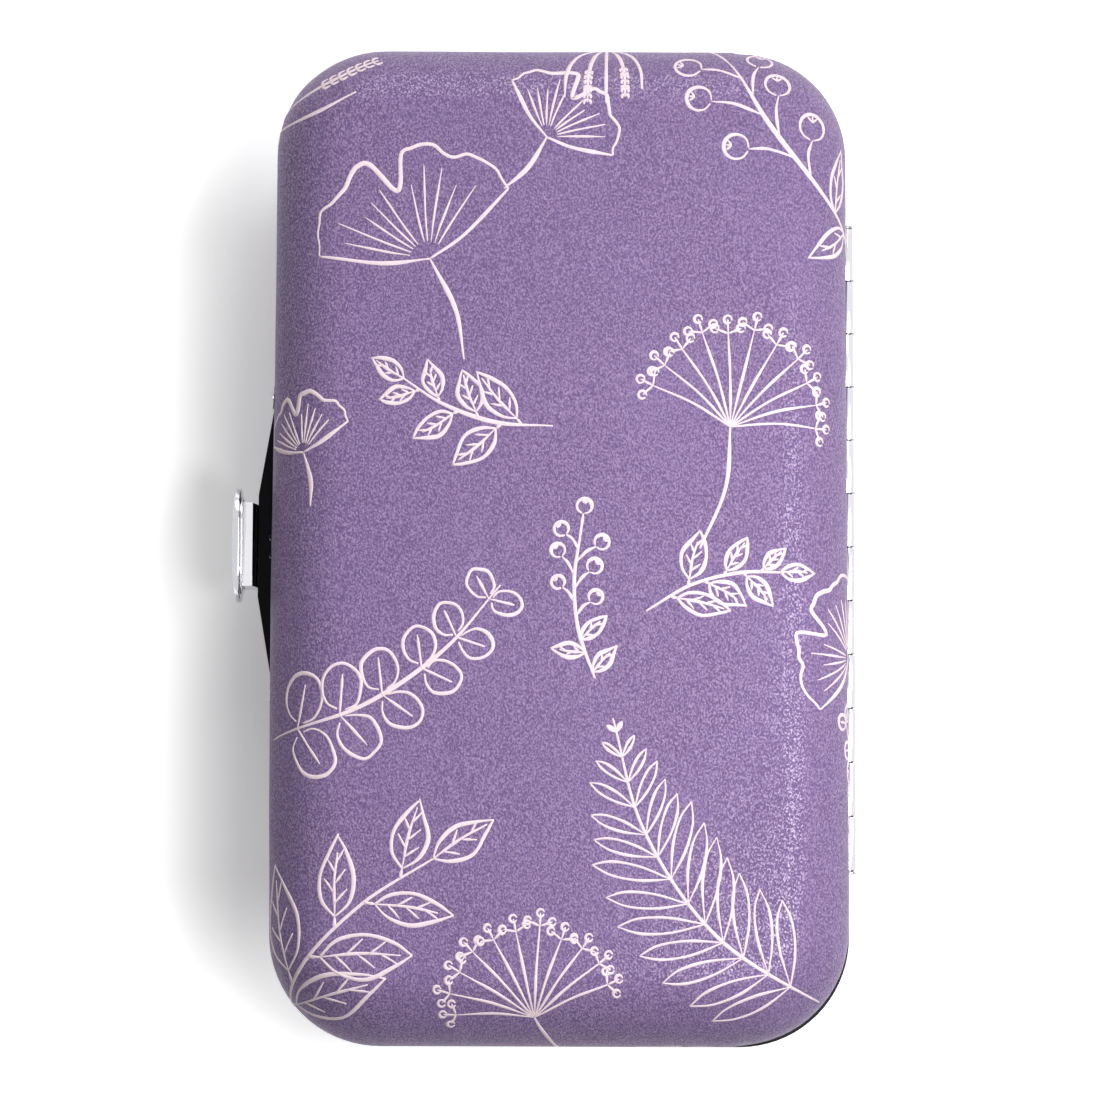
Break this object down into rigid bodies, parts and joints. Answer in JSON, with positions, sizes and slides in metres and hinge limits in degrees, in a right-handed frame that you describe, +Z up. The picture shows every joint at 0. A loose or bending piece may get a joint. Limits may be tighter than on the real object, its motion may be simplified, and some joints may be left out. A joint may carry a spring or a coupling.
{
  "type": "manicure set case",
  "caption": "Closed padded hard case for manicure tools, with a rim frame, piano hinge, push clasp with spring strip, and a tray of tools inside.",
  "frame": {"origin": "centre of the base's flat underside", "axes": "+X from the clasp side to the hinge side, +Y along the case, +Z up through the lid"},
  "size_m": [0.0755, 0.1204, 0.024],
  "materials": {
    "leatherette": "printed purple leatherette with a fine pebbled grain",
    "print": "pale pink screen print",
    "foam": "open foam",
    "shell": "pressed sheet",
    "black_enamel": "glossy black enamel",
    "velvet": "black velvet",
    "flock": "black flocking",
    "chrome": "bright chrome",
    "steel": "satin steel",
    "tool_steel": "polished stainless steel",
    "purple_plastic": "smooth purple plastic"
  },
  "bodies": {
    "base": {"base_cover": "leatherette", "base_padding": "foam", "base_shell": "shell", "base_frame": "black_enamel", "latch_spring": "black_enamel", "tool_tray": "flock", "base_hinge_leaf": "chrome", "hinge_pin": "steel", "latch_spring_rivets": "steel", "clipper_lower_arm": "tool_steel", "clipper_upper_arm": "tool_steel", "clipper_lever": "tool_steel", "clipper_post": "steel", "scissor_blade_left": "tool_steel", "scissor_blade_right": "tool_steel", "scissor_screw": "steel", "tweezer_lower_arm": "tool_steel", "tweezer_upper_arm": "tool_steel", "nail_file": "steel", "nail_file_handle": "purple_plastic", "cuticle_pusher": "tool_steel"},
    "lid": {"lid_cover": "leatherette", "lid_padding": "foam", "lid_shell": "shell", "lid_frame": "black_enamel", "lid_lining": "velvet", "lid_hinge_leaf": "chrome", "lid_catch": "steel", "lid_catch_rivets": "steel"},
    "clasp": {"thumb_plate": "chrome", "thumb_backing": "chrome", "latch_bracket": "chrome", "latch_hook": "steel", "latch_rivets": "steel"}
  },
  "joints": [
    {"name": "lid_hinge", "type": "hinge", "parent": "base", "child": "lid", "pos_m": [0.0348, 0, 0.012], "axis": [0, 1, 0], "range_deg": [0, 180], "deforming": ["latch_hook"]},
    {"name": "clasp_press", "type": "slide", "parent": "base", "child": "clasp", "axis": [1, 0, 0], "range_m": [0, 0.0013], "stiffness_N_per_m": 3500, "springref_m": -0.0004, "deforming": ["latch_spring"]}
  ]
}
